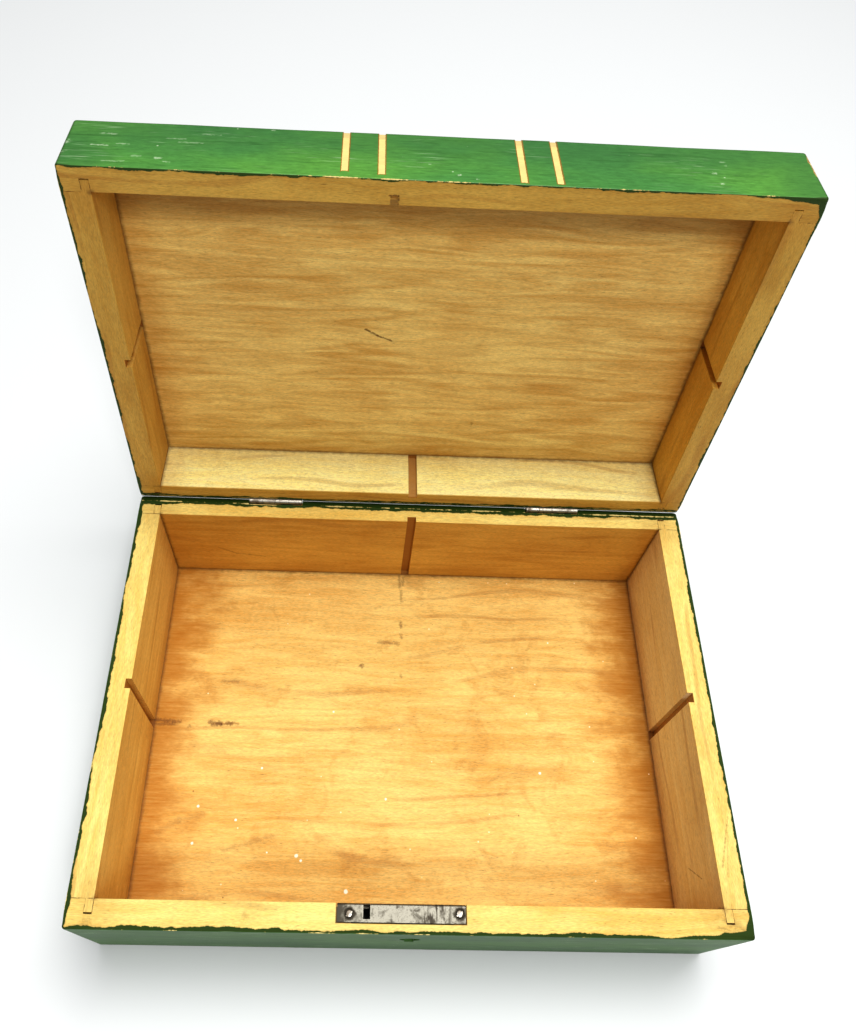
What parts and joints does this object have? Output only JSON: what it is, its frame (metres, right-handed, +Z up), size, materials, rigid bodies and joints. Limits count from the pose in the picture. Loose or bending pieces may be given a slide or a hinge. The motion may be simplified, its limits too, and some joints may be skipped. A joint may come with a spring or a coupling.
{
  "type": "hinged wooden box",
  "caption": "Rectangular hinged wooden box, open, with painted outside, bare inside, divider grooves, butt hinges and a small inset box lock.",
  "frame": {"origin": "centre of the underside of the base", "axes": "+X along the front to the viewer's right, +Y from the front to the back, +Z up"},
  "size_m": [0.25, 0.2239, 0.2366],
  "materials": {
    "painted_wood": "worn green gloss paint outside, bare wood inside",
    "lock_plate": "dull tarnished nickel",
    "lock_inner": "dark oiled steel",
    "screw_steel": "dull steel",
    "hinge_steel": "tarnished bright steel"
  },
  "bodies": {
    "base": {"base_front_wall": "painted_wood", "base_back_wall": "painted_wood", "base_left_wall": "painted_wood", "base_right_wall": "painted_wood", "base_floor": "painted_wood", "lock_body": "lock_plate", "lock_case": "lock_inner", "lock_key_post": "lock_inner", "lock_guide_pegs": "lock_inner", "lock_rivets": "lock_inner", "lock_spring": "lock_inner", "lock_plate_screws": "screw_steel", "lock_back_screws": "screw_steel", "left_hinge_base_leaf": "hinge_steel", "left_hinge_pin": "hinge_steel", "left_hinge_base_screws": "screw_steel", "right_hinge_base_leaf": "hinge_steel", "right_hinge_pin": "hinge_steel", "right_hinge_base_screws": "screw_steel"},
    "lid": {"lid_top_panel": "painted_wood", "lid_front_wall": "painted_wood", "lid_back_wall": "painted_wood", "lid_left_wall": "painted_wood", "lid_right_wall": "painted_wood", "left_hinge_lid_leaf": "hinge_steel", "left_hinge_lid_screws": "screw_steel", "right_hinge_lid_leaf": "hinge_steel", "right_hinge_lid_screws": "screw_steel"},
    "bolt": {"lock_bolt": "lock_inner"}
  },
  "joints": [
    {"name": "lid_hinge", "type": "hinge", "parent": "base", "child": "lid", "pos_m": [0, 0.0869, 0.0625], "axis": [1, 0, 0], "range_deg": [0, 97]},
    {"name": "bolt_slide", "type": "slide", "parent": "base", "child": "bolt", "axis": [-1, 0, 0], "range_m": [0, 0.005]}
  ]
}
